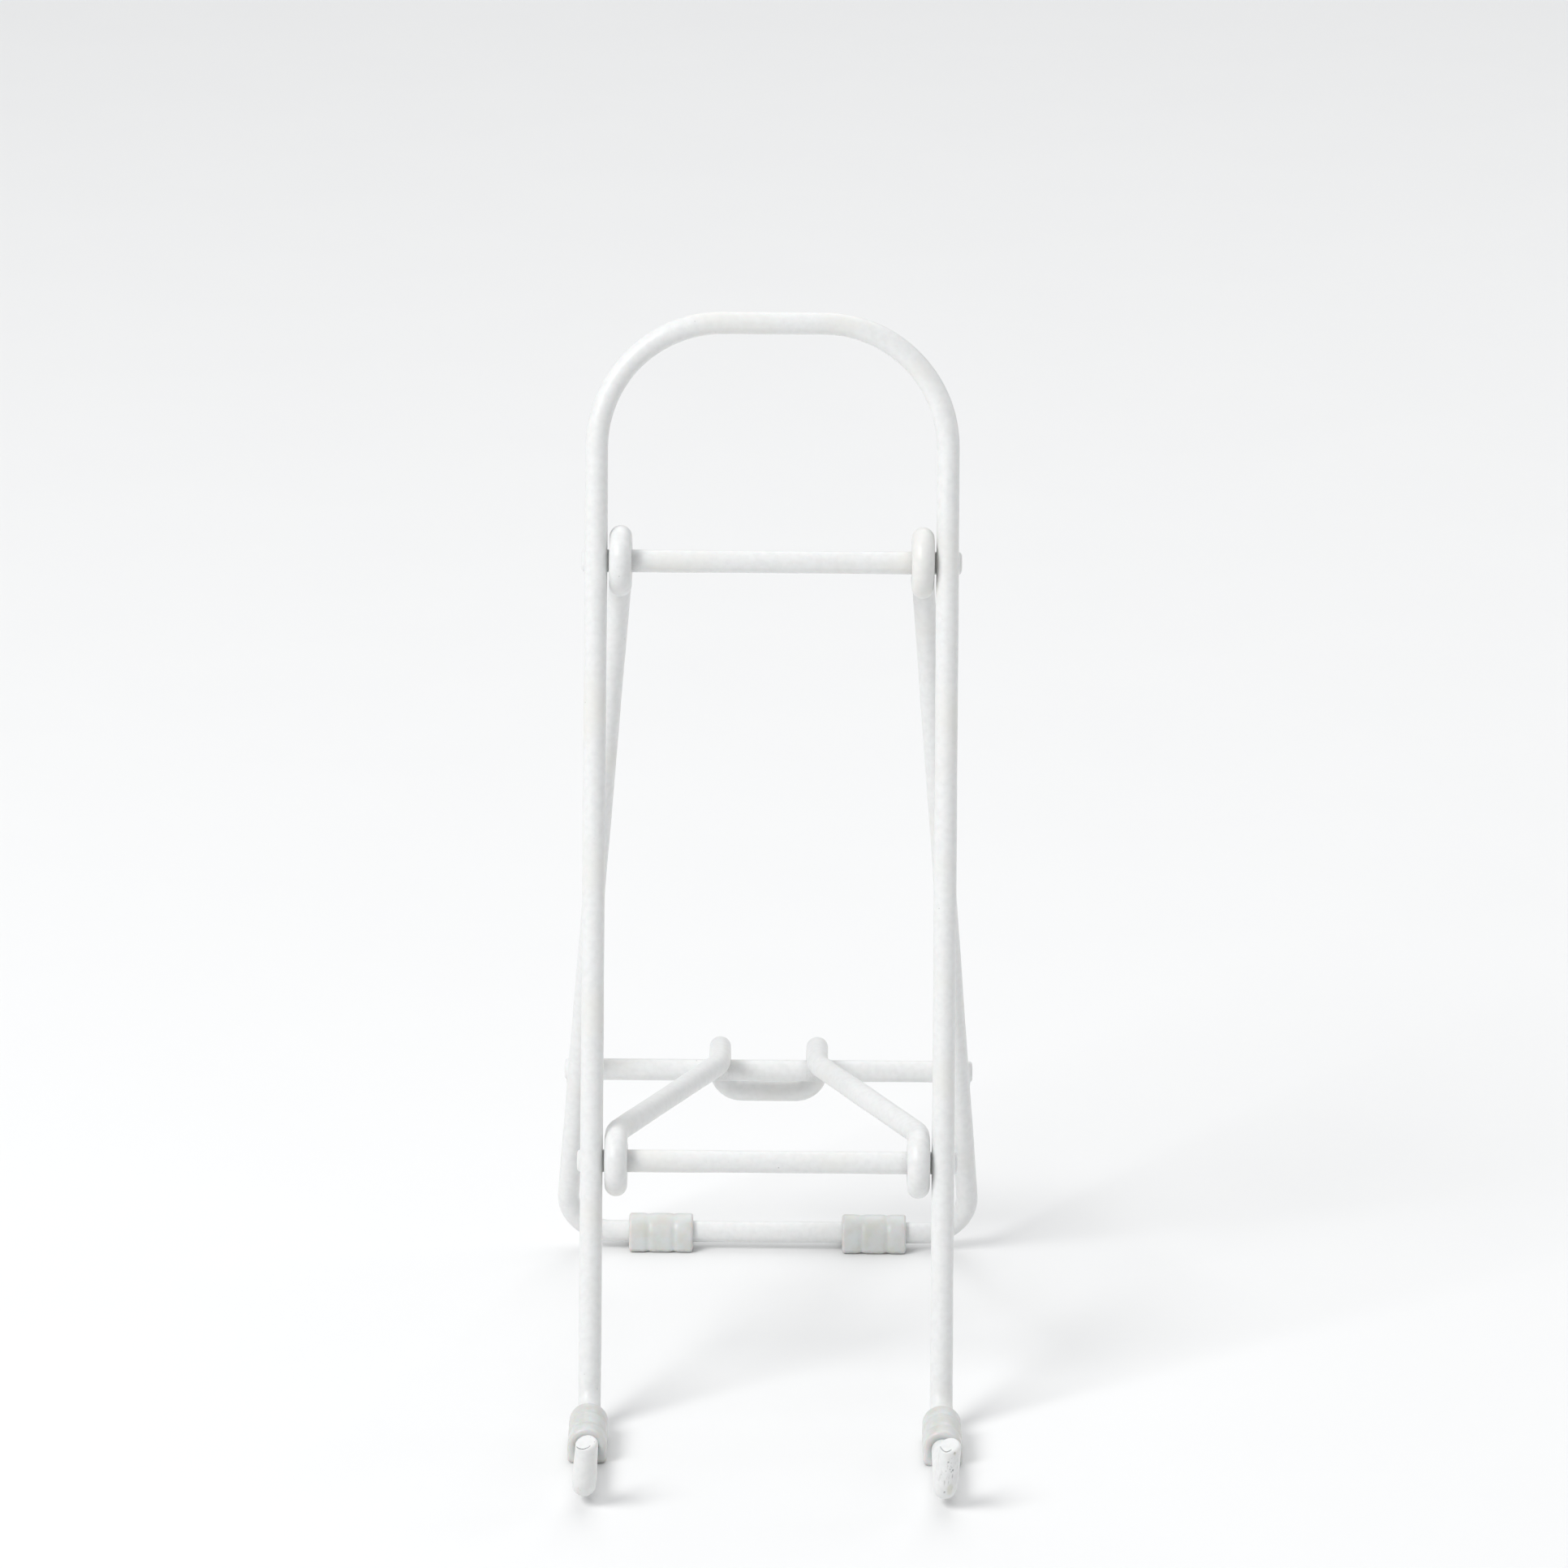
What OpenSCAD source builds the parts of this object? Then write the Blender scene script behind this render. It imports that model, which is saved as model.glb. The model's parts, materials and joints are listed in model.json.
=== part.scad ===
// Folding wire easel that holds one display plate by its rim.
// +X is right, -Y is the front and +Z is up. The origin is on the table, in
// the middle of the footprint, with the rear prop opened out.

/* [Wire] */
// Diameter of the steel wire
core_d = 3.2; // [2.4:0.1:4]
// Thickness of the white coating over the wire
coat = 0.4; // [0.2:0.05:0.8]
// Gap left between wires that move past each other
play = 0.3; // [0.2:0.05:0.4]
// How far two welded wires sink into each other
weld_sink = 0.6; // [0.2:0.1:1]
// How much thicker a wire is, in radius, where it is bent
bend_swell = 0.03; // [0.02:0.01:0.08]

/* [Front frame] */
// Distance between the two fingers, centre to centre
finger_gap = 62; // [54:1:90]
// Length of a finger, from the toe corner to the middle of its end face
finger_len = 10.5; // [8:0.1:20]
// Forward lean of both fingers, in degrees
finger_lean = 16; // [4:1:25]
// Lean of the left finger towards +X, in degrees
left_finger_tilt = 3.5; // [-8:0.5:8]
// Lean of the right finger towards +X, in degrees
right_finger_tilt = 4; // [-8:0.5:8]
// Slope of the cut ends towards the front, in degrees
cut_forward = 3; // [0:1:15]
// Slope of the cut ends towards -X, in degrees
cut_sideways = 12; // [0:1:15]
// Depth of the cradle, from the toe corner to the heel corner
cradle_len = 34; // [30:1:50]
// Backward lean of the uprights, in degrees
lean = 18; // [14:1:22]
// Length of an upright, from the heel corner to the top corner
upright_len = 192; // [180:1:240]
// Centreline radius of the toe bends
toe_bend = 3.5; // [3:0.1:4]
// Centreline radius of the heel bends
heel_bend = 6; // [4:0.5:8]
// Centreline radius of the two top corners
arch_bend = 22; // [12:1:26]

/* [Prop and stay] */
// Height of the hinge rod along the uprights
hinge_h = 150; // [140:1:155]
// Lean of the opened prop from the vertical, in degrees
prop_lean = 13; // [12:0.5:14]
// Half the distance between the prop legs at the table
prop_foot_x = 38; // [36:1:45]
// Height of the stay rod along the uprights
stay_h = 44; // [40:1:50]
// How much further from the hinge the catch rod sits than the stay rod
catch_drop = 6; // [6:0.5:9]
// Half the distance between the two sides of the hook
hook_x = 9; // [8:0.5:14]
// Turn of the hook round the catch rod, in degrees
hook_turn = 80; // [70:1:85]
// Length of the hook's sides
hook_len = 9.6; // [9:0.2:13]
// Part of a circle that each eye covers, in degrees
eye_wrap = 300; // [270:5:310]

/* [Feet] */
// Thickness of a foot under the wire
foot_wall = 1.2; // [1:0.1:2.5]
// Length of a foot along its wire
foot_len = 12; // [8:1:14]
// Distance from the toe corner to a front foot
front_foot_at = 18; // [14:1:18]
// Distance from the middle of the prop to a rear foot
rear_foot_at = 14; // [6:1:16]

/* [Hidden] */
$fn = 64;

white = "whitesmoke";
steel = "dimgray";
clear_vinyl = "gainsboro";

core_r = core_d / 2;
wire_r = core_r + coat;
lap = core_d - weld_sink;
eye_r = 2 * wire_r + play;
eye_x = finger_gap / 2 - 2 * wire_r - play;
eye_lead = 4;
rod_overhang = 2.2;
weld_reach = 6;
foot_bulge = 0.2;
foot_r = wire_r + foot_wall + foot_bulge;
wire_z = wire_r + foot_wall;

// Directions along and square to the uprights, the prop and the stay
upright_dir = [0, sin(lean), cos(lean)];
upright_back = [0, cos(lean), -sin(lean)];
prop_dir = [0, sin(prop_lean), -cos(prop_lean)];
prop_back = [0, cos(prop_lean), sin(prop_lean)];

// The toe is placed so that the footprint's middle is at y = 0
hinge_from_toe = [0, cradle_len, wire_z] + hinge_h * upright_dir + lap * upright_back;
prop_from_toe = hinge_from_toe + eye_r * prop_back;
prop_len = (prop_from_toe.z - wire_z) / cos(prop_lean);
rear_from_toe = prop_from_toe.y + prop_len * sin(prop_lean) + foot_r;
front_from_toe = (finger_len - wire_r * tan(cut_forward)) * sin(finger_lean)
    + wire_r * cos(finger_lean);
toe_y = (front_from_toe - rear_from_toe) / 2;

heel = [0, toe_y + cradle_len, wire_z];
hinge = on_upright(hinge_h, lap);
stay_pivot = on_upright(stay_h, lap);
prop_start = hinge + eye_r * prop_back;
catch_at = hinge_h - stay_h + catch_drop;
catch = on_prop(catch_at, lap);

stay_slope = atan2(stay_pivot.z - catch.z, catch.y - stay_pivot.y);
stay_dir = [0, cos(stay_slope), -sin(stay_slope)];
stay_up = [0, sin(stay_slope), cos(stay_slope)];
stay_span = norm(catch - stay_pivot);
hook_dir = cos(hook_turn) * stay_dir - sin(hook_turn) * stay_up;

left_finger = finger_dir(left_finger_tilt);
right_finger = finger_dir(right_finger_tilt);

function on_upright(along, back) = heel + along * upright_dir + back * upright_back;
function on_prop(along, back) = prop_start + along * prop_dir + back * prop_back;
function on_stay(along) = stay_pivot + eye_r * stay_up + along * stay_dir;
function prop_leg_x(along) =
    eye_x + (prop_foot_x - eye_x) * (along - eye_lead) / (prop_len - eye_lead);

function finger_dir(tilt) =
    [sin(tilt), -sin(finger_lean) * cos(tilt), cos(finger_lean) * cos(tilt)];
function at_x(x, p) = [x, p.y, p.z];
function mirrored(points) =
    concat(points, [for (i = [len(points) - 1:-1:0]) at_x(-points[i].x, points[i])]);
function repeated(radii) = concat(radii, [for (i = [len(radii) - 1:-1:0]) radii[i]]);

// Paths of the three bent wires, each with a bend radius for every point.
// A straight runs a little way into the bends and eyes that it meets.
seat = 0.05;
tip_spare = 4;
cut_half = 6;
toe_left = [-finger_gap / 2, toe_y, wire_z];
toe_right = [finger_gap / 2, toe_y, wire_z];
front_path = [
    toe_left + (finger_len + tip_spare) * left_finger,
    toe_left,
    at_x(-finger_gap / 2, heel),
    at_x(-finger_gap / 2, on_upright(upright_len, 0)),
    at_x(finger_gap / 2, on_upright(upright_len, 0)),
    at_x(finger_gap / 2, heel),
    toe_right,
    toe_right + (finger_len + tip_spare) * right_finger
];
front_bends = repeated([0, toe_bend, heel_bend, arch_bend]);

prop_path = mirrored([
    at_x(eye_x, on_prop(-seat, 0)),
    at_x(eye_x, on_prop(eye_lead, 0)),
    at_x(prop_foot_x, on_prop(prop_len, 0))
]);
prop_top_bend = 12;
prop_corner_bend = 8;
prop_bends = repeated([0, prop_top_bend, prop_corner_bend]);

hook_corner = eye_r * tan(hook_turn / 2);
hook_lead = 12;
stay_path = mirrored([
    at_x(eye_x, on_stay(-seat)),
    at_x(eye_x, on_stay(eye_lead)),
    at_x(hook_x, on_stay(stay_span - hook_lead)),
    at_x(hook_x, on_stay(stay_span + hook_corner)),
    at_x(hook_x, on_stay(stay_span + hook_corner) + hook_len * hook_dir)
]);
stay_top_bend = 10;
hook_lead_bend = 14;
hook_tip_bend = 4;
stay_bends = repeated([0, stay_top_bend, hook_lead_bend, eye_r, hook_tip_bend]);

function unit(v) = v / norm(v);
function turn(a, b) = acos(a * b);

// Moves a shape drawn at the origin to a point, with its X and Y along x and y
module placed(at, x, y) {
    z = cross(x, y);
    multmatrix([
        [x.x, y.x, z.x, at.x],
        [x.y, y.y, z.y, at.y],
        [x.z, y.z, z.z, at.z],
        [0, 0, 0, 1]
    ]) children();
}

// Moves a shape drawn at the origin to a point, with its Z along z
module facing(at, z) {
    x = unit(cross(abs(z.z) < 0.9 ? [0, 0, 1] : [1, 0, 0], z));
    placed(at, x, cross(z, x)) children();
}

module straight(a, b, r) {
    facing(a, unit(b - a)) cylinder(r = r, h = norm(b - a));
}

module bend(corner, before, after, radius, r) {
    inward = unit(after - (before * after) * before);
    start = corner - radius * tan(turn(before, after) / 2) * before;
    placed(start + radius * inward, -inward, before)
        rotate_extrude(angle = turn(before, after)) translate([radius, 0])
            circle(r + bend_swell);
}

module bent_wire(points, radii, r) {
    last = len(points) - 1;
    dirs = [for (i = [0:last - 1]) unit(points[i + 1] - points[i])];
    trims = [
        for (i = [0:last])
            i == 0 || i == last ? 0 : radii[i] * tan(turn(dirs[i - 1], dirs[i]) / 2)
    ];
    starts = [for (t = trims) t == 0 ? 0 : t - seat];
    for (i = [0:last - 1])
        straight(points[i] + starts[i] * dirs[i], points[i + 1] - starts[i + 1] * dirs[i], r);
    for (i = [1:last - 1]) bend(points[i], dirs[i - 1], dirs[i], radii[i], r);
}

// Two eyes round a rod; the wire leaves them at the point that faces out
module eyes(centre, out, r, end_cap) {
    cap_angle = end_cap / eye_r * 180 / PI;
    for (x = [-eye_x, eye_x])
        placed(at_x(x, centre), out, cross([1, 0, 0], out))
            rotate_extrude(angle = eye_wrap + cap_angle) translate([eye_r, 0])
                circle(r + bend_swell);
}

// The space beyond a sloping end face at a point, or beyond one sunk by depth
module beyond_tip(tip, finger, depth) {
    normal = unit(finger - [tan(cut_sideways), tan(cut_forward), 0]);
    facing(tip - depth * normal, normal) translate([-cut_half, -cut_half, 0])
        cube([2 * cut_half, 2 * cut_half, 2 * tip_spare]);
}

module front_shape(r, tip_depth) {
    difference() {
        bent_wire(front_path, front_bends, r);
        beyond_tip(toe_left + finger_len * left_finger, left_finger, tip_depth);
        beyond_tip(toe_right + finger_len * right_finger, right_finger, tip_depth);
    }
}

module cross_rod(centre, half, r) {
    straight(at_x(-half, centre), at_x(half, centre), r);
}

module prop_shape(r, end_cap) {
    bent_wire(prop_path, prop_bends, r);
    eyes(hinge, prop_back, r, end_cap);
}

module stay_shape(r, end_cap) {
    bent_wire(stay_path, stay_bends, r);
    eyes(stay_pivot, stay_up, r, end_cap);
}

// Short lengths of the uprights beside a rod, which the rod is welded to
module uprights_at(along, r) {
    for (x = [-finger_gap / 2, finger_gap / 2])
        straight(at_x(x, on_upright(along - weld_reach, 0)),
                 at_x(x, on_upright(along + weld_reach, 0)), r);
}

module prop_legs_at(along, r) {
    for (s = [-1, 1])
        straight(at_x(s * prop_leg_x(along - weld_reach), on_prop(along - weld_reach, 0)),
                 at_x(s * prop_leg_x(along + weld_reach), on_prop(along + weld_reach, 0)), r);
}

front_rod_half = finger_gap / 2 + rod_overhang;
catch_rod_half = prop_leg_x(catch_at) + rod_overhang;

module front_wire() {
    color(steel) front_shape(core_r, coat);
}

module front_coating() {
    color(white) difference() {
        front_shape(wire_r, 0);
        front_shape(core_r, coat);
        cross_rod(hinge, front_rod_half, core_r);
        cross_rod(stay_pivot, front_rod_half, core_r);
    }
}

module front_rod(centre, along) {
    color(steel) difference() {
        cross_rod(centre, front_rod_half, core_r);
        uprights_at(along, core_r);
    }
}

module front_rod_coating(centre, along) {
    color(white) difference() {
        cross_rod(centre, front_rod_half + coat, wire_r);
        cross_rod(centre, front_rod_half, core_r);
        uprights_at(along, wire_r);
    }
}

module hinge_rod() {
    front_rod(hinge, hinge_h);
}

module hinge_rod_coating() {
    front_rod_coating(hinge, hinge_h);
}

module stay_rod() {
    front_rod(stay_pivot, stay_h);
}

module stay_rod_coating() {
    front_rod_coating(stay_pivot, stay_h);
}

module prop_wire() {
    color(steel) prop_shape(core_r, 0);
}

module prop_coating() {
    color(white) difference() {
        prop_shape(wire_r, coat);
        prop_shape(core_r, 0);
        cross_rod(catch, catch_rod_half, core_r);
    }
}

module catch_rod() {
    color(steel) difference() {
        cross_rod(catch, catch_rod_half, core_r);
        prop_legs_at(catch_at, core_r);
    }
}

module catch_rod_coating() {
    color(white) difference() {
        cross_rod(catch, catch_rod_half + coat, wire_r);
        cross_rod(catch, catch_rod_half, core_r);
        prop_legs_at(catch_at, wire_r);
    }
}

module stay_wire() {
    color(steel) stay_shape(core_r, 0);
}

module stay_coating() {
    color(white) difference() {
        stay_shape(wire_r, coat);
        stay_shape(core_r, 0);
    }
}

// A sleeve with a round top and a flat sole; its wire runs along Z, up is Y
module foot() {
    linear_extrude(foot_len) difference() {
        union() {
            intersection() {
                circle(foot_r);
                translate([-foot_r, -wire_z]) square([2 * foot_r, 3 * foot_r]);
            }
            translate([-foot_r, -wire_z]) square([2 * foot_r, wire_z]);
        }
        circle(wire_r);
    }
}

module front_foot(x) {
    color(clear_vinyl) placed([x, toe_y + front_foot_at, wire_z], [-1, 0, 0], [0, 0, 1]) foot();
}

module rear_foot(x) {
    color(clear_vinyl)
        placed([x, on_prop(prop_len, 0).y, wire_z], [0, 1, 0], [0, 0, 1]) foot();
}

module front_foot_left() {
    front_foot(-finger_gap / 2);
}

module front_foot_right() {
    front_foot(finger_gap / 2);
}

module rear_foot_left() {
    rear_foot(-rear_foot_at - foot_len);
}

module rear_foot_right() {
    rear_foot(rear_foot_at);
}

front_wire();
front_coating();
front_foot_left();
front_foot_right();
hinge_rod();
hinge_rod_coating();
stay_rod();
stay_rod_coating();
prop_wire();
prop_coating();
rear_foot_left();
rear_foot_right();
catch_rod();
catch_rod_coating();
stay_wire();
stay_coating();
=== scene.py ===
"""Looks of a folding wire easel for a plate: coated wires, vinyl feet, floor, light and camera.

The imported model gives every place: rods and feet by their boxes, hinges by their joints. Lengths
in this file are in metres and angles in degrees, unless a comment says otherwise.
"""

import json
import math

import bpy
import numpy as np
from mathutils import Matrix, Vector


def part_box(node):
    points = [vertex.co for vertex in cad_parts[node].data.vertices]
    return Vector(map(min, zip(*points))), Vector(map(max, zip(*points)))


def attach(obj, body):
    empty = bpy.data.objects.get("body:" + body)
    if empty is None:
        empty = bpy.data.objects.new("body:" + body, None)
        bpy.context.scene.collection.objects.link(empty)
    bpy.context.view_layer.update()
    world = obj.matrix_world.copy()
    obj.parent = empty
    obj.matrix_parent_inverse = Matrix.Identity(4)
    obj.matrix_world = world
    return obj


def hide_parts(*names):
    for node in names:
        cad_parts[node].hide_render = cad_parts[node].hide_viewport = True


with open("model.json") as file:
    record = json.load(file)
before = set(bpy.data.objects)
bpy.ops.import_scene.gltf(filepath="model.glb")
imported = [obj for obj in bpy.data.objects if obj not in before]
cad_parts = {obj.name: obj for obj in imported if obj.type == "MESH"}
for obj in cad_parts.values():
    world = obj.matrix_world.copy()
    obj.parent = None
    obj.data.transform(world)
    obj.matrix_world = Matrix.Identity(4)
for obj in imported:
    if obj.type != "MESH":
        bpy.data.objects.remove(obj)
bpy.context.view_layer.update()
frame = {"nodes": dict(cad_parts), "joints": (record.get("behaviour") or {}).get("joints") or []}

MM = 0.001

# The wire and its bends, as the CAD model has them
COAT = 0.4 * MM
PLAY = 0.3 * MM
WELD_LAP = 2.6 * MM
TOE_BEND = 3.5 * MM
HEEL_BEND = 6 * MM
ARCH_BEND = 22 * MM
FINGER_LEN = 10.5 * MM
FINGER_LEAN = 16
FINGER_TILTS = {"left": 3.5, "right": 4}
CUT_FORWARD = 3
CUT_SIDEWAYS = 12
FOOT_FROM_TOE = 18 * MM
PROP_LEAN = 13
PROP_FOOT_X = 38 * MM
PROP_TOP_BEND = 12 * MM
PROP_CORNER_BEND = 8 * MM
STAY_TOP_BEND = 10 * MM
HOOK_LEAD_BEND = 14 * MM
HOOK_TIP_BEND = 4 * MM
EYE_WRAP = 300
EYE_LEAD = 4 * MM
HOOK_X = 9 * MM
HOOK_TURN = 80
HOOK_LEN = 9.6 * MM
HOOK_LEAD = 12 * MM

# How finely the wires are divided
SIDES = 72
FRONT_SIDES = 144
STRAIGHT_STEP = 1.5 * MM
BEND_STEP = 4.0
FINGER_STEP = 0.18 * MM
END_FACE_PARTS = (0.3, 0.8)
END_RIM_TURNS = range(15, 90, 15)

# How round the ends of the bent wires and of the rods are
END_ROUND = 0.9 * MM
ROD_END_ROUND = 0.7 * MM

# A wire that starts with this much X or more in its direction counts as lying along X
ALONG_X = 0.9

X = np.array([1.0, 0.0, 0.0])
Y = np.array([0.0, 1.0, 0.0])
Z = np.array([0.0, 0.0, 1.0])


# ---------------------------------------------------------------- vectors


def unit(v):
    return v / np.linalg.norm(v)


def square_to(v, axis):
    """The part of v square to axis, at length 1."""
    return unit(v - (v @ axis) * axis)


def at_x(x, point):
    return np.array([x, point[1], point[2]])


def slanted(degrees):
    """A direction in the YZ plane, that many degrees from +Y towards +Z."""
    a = math.radians(degrees)
    return np.array([0.0, math.cos(a), math.sin(a)])


def smooth(x):
    """0 below 0, 1 above 1, with a soft rise between."""
    x = np.clip(x, 0.0, 1.0)
    return x * x * (3 - 2 * x)


# ---------------------------------------------------------------- places, from the frame


def box(node):
    low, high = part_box(node)
    return np.array(low), np.array(high)


def middle(node):
    low, high = box(node)
    return (low + high) / 2


def joint_at(name):
    joint = next(j for j in frame["joints"] if j["name"] == name)
    return np.array(joint["pos_m"], float)


def half_size(node, axis):
    low, high = box(node)
    return (high[axis] - low[axis]) / 2


wire_r = half_size("hinge_rod_coating", 2)
finger_x = middle("front_foot_right")[0]
eye_x = finger_x - 2 * wire_r - PLAY
eye_r = 2 * wire_r + PLAY

hinge = joint_at("prop_fold")
stay_pivot = joint_at("stay_lift")
catch = at_x(0, middle("catch_rod_coating"))

upright_dir = unit(hinge - stay_pivot)
upright_back = np.array([0.0, upright_dir[2], -upright_dir[1]])
foot_low, foot_high = box("front_foot_right")
foot_top_r = (foot_high[0] - foot_low[0]) / 2
wire_z = foot_high[2] - foot_top_r
toe_y = foot_low[1] - FOOT_FROM_TOE

on_upright_line = hinge - WELD_LAP * upright_back
heel = on_upright_line - (on_upright_line[2] - wire_z) / upright_dir[2] * upright_dir
top_z = box("front_coating")[1][2] - wire_r
top = heel + (top_z - wire_z) / upright_dir[2] * upright_dir

prop_dir = slanted(PROP_LEAN - 90)
prop_back = slanted(PROP_LEAN)
prop_start = hinge + eye_r * prop_back
prop_len = (prop_start[2] - wire_z) / -prop_dir[2]

stay_dir = unit(catch - stay_pivot)
stay_up = np.array([0.0, -stay_dir[2], stay_dir[1]])
stay_start = stay_pivot + eye_r * stay_up
stay_span = np.linalg.norm(catch - stay_pivot)
hook_turn = math.radians(HOOK_TURN)
hook_dir = math.cos(hook_turn) * stay_dir - math.sin(hook_turn) * stay_up


def finger_dir(side):
    tilt, lean = math.radians(FINGER_TILTS[side]), math.radians(FINGER_LEAN)
    return np.array([
        math.sin(tilt), -math.sin(lean) * math.cos(tilt), math.cos(lean) * math.cos(tilt)
    ])


# ---------------------------------------------------------------- paths and rings


def bent_path(points, bends, straight_step=STRAIGHT_STEP):
    """Points along the middle of a bent wire, with a bend of the given radius at each corner."""
    path = []
    here = points[0]
    for corner, after, radius in zip(points[1:-1], points[2:], bends[1:-1]):
        d1, d2 = unit(corner - here), unit(after - corner)
        turn = math.acos(np.clip(d1 @ d2, -1, 1))
        trim = radius * math.tan(turn / 2)
        start = corner - trim * d1
        path += straight_points(here, start, straight_step)
        inward = square_to(d2, d1)
        centre = start + radius * inward
        steps = max(2, math.ceil(math.degrees(turn) / BEND_STEP))
        for k in range(steps):
            a = turn * k / steps
            path.append(centre + radius * (math.sin(a) * d1 - math.cos(a) * inward))
        here = corner + trim * d2
    path += straight_points(here, points[-1], straight_step) + [points[-1]]
    return path


def straight_points(a, b, step):
    n = max(1, math.ceil(np.linalg.norm(b - a) / step))
    return [a + (b - a) * k / n for k in range(n)]


def eye_path(x, centre, out):
    """The ring of an eye, from its free end to where the wire leaves it on the out side."""
    along = np.cross(X, out)
    wrap = math.radians(EYE_WRAP) + COAT / eye_r
    steps = int(EYE_WRAP / BEND_STEP)
    ring = []
    for k in range(steps):
        a = wrap * (1 - k / steps)
        ring.append(at_x(x, centre) + eye_r * (math.cos(a) * out + math.sin(a) * along))
    return ring


def mirrored(points):
    return points + [at_x(-p[0], p) for p in reversed(points)]


def transport(path, first):
    """Tangents and two square directions at each point, turned as little as possible."""
    path = np.array(path)
    tangents = np.gradient(path, axis=0)
    tangents /= np.linalg.norm(tangents, axis=1)[:, None]
    side = square_to(first, tangents[0])
    sides = []
    for t in tangents:
        side = square_to(side, t)
        sides.append(side)
    sides = np.array(sides)
    return tangents, sides, np.cross(tangents, sides)


def ring_dirs(a, b, sides=SIDES):
    """Directions all round a wire whose square directions are a and b."""
    angles = np.linspace(0, 2 * math.pi, sides, endpoint=False)[:, None]
    return np.cos(angles) * a + np.sin(angles) * b


def run_length(path):
    """The distance along a path of each of its points."""
    return np.concatenate([[0], np.cumsum(np.linalg.norm(np.diff(path, axis=0), axis=1))])


class Skin:
    """Rings of points that become one closed tube, with numbers for the material at each point."""

    def __init__(self, sides=SIDES):
        self.sides = sides
        self.rings = []
        self.numbers = {"bare_and_crack_shade": [], "scuff": [], "olive": []}

    def add(self, ring, **numbers):
        self.rings.append(ring)
        for name, rows in self.numbers.items():
            rows.append(np.broadcast_to(numbers.get(name, 0.0), (self.sides,)))

    def piece(self, name):
        n, sides = len(self.rings), self.sides
        points = np.concatenate(self.rings)
        ends = np.array([self.rings[0].mean(axis=0), self.rings[-1].mean(axis=0)])
        faces = []
        for i in range(n - 1):
            here, after = i * sides, (i + 1) * sides
            for j in range(sides):
                k = (j + 1) % sides
                faces.append((here + j, after + j, after + k, here + k))
        last = (n - 1) * sides
        for j in range(sides):
            k = (j + 1) % sides
            faces.append((j, k, n * sides))
            faces.append((last + k, last + j, n * sides + 1))
        piece = mesh_piece(name, np.concatenate([points, ends]), faces)
        for key, rows in self.numbers.items():
            values = np.concatenate([np.concatenate(rows), [rows[0][0], rows[-1][0]]])
            layer = piece.data.attributes.new(key, "FLOAT", "POINT")
            layer.data.foreach_set("value", values.astype(np.float32))
        return piece


def mesh_piece(name, points, faces):
    mesh = bpy.data.meshes.new(name)
    mesh.from_pydata(np.asarray(points).tolist(), [], faces)
    mesh.validate()
    mesh.polygons.foreach_set("use_smooth", [True] * len(mesh.polygons))
    mesh.update()
    piece = bpy.data.objects.new(name, mesh)
    bpy.context.scene.collection.objects.link(piece)
    return piece


def ring_piece(name, rings):
    """A piece whose rings join in turn, and the last one to the first."""
    n, width = len(rings), len(rings[0])
    faces = []
    for k in range(n):
        here, after = k * width, (k + 1) % n * width
        for j in range(width):
            i = (j + 1) % width
            faces.append((here + j, after + j, after + i, here + i))
    return mesh_piece(name, np.concatenate(rings), faces)


def coated_tube(name, path, end_round):
    """A coated wire along a path, with a slightly uneven skin and rounded ends."""
    skin = Skin()
    tangents, a, b = transport(path, X if abs(unit(path[1] - path[0])[0]) < ALONG_X else Z)
    along = run_length(path)

    def end_rings(at, dirs, out):
        """The flat middle of an end and its rounded rim, from the middle outwards."""
        for part in END_FACE_PARTS:
            yield at + part * (wire_r - end_round) * dirs
        for degrees in END_RIM_TURNS:
            turn = math.radians(degrees)
            q = wire_r - end_round * (1 - math.sin(turn))
            yield at + q * dirs - end_round * (1 - math.cos(turn)) * out

    for ring in end_rings(path[0], ring_dirs(a[0], b[0]), -tangents[0]):
        skin.add(ring, **rubbed(ring))
    for i, s in enumerate(along):
        if end_round <= s <= along[-1] - end_round:
            ring = path[i] + (wire_r + unevenness(s)) * ring_dirs(a[i], b[i])
            skin.add(ring, **rubbed(ring))
    for ring in reversed(list(end_rings(path[-1], ring_dirs(a[-1], b[-1]), tangents[-1]))):
        skin.add(ring, **rubbed(ring))
    return skin.piece(name)


# Wires rub where an eye turns on its rod and where the hook rests. The wear is full within the
# inner distance of that spot on the rod's axis, and there is none beyond the outer one.
RUB_INNER = 2.4 * MM
RUB_OUTER = 3.5 * MM
RUB_GREY = 0.22


def rubbed(points):
    """The wear of each point from the wires that turn or rest against each other near it."""
    spots = [
        at_x(sign * x, rod)
        for x, rod in ((eye_x, hinge), (eye_x, stay_pivot), (HOOK_X, catch))
        for sign in (-1, 1)
    ]
    gap = np.min([np.linalg.norm(points - spot, axis=1) for spot in spots], axis=0)
    worn = smooth((RUB_OUTER - gap) / (RUB_OUTER - RUB_INNER))
    return {"scuff": worn, "bare_and_crack_shade": RUB_GREY * worn}


# Two waves in the thickness of the dipped skin: height, length per radian, and phase
SKIN_WAVES = ((0.018 * MM, 7.3 * MM, 0.0), (0.012 * MM, 2.9 * MM, 1.3))


def unevenness(s):
    """How much the dipped skin is thicker or thinner at a distance along the wire."""
    return sum(height * math.sin(s / length + phase) for height, length, phase in SKIN_WAVES)
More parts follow.
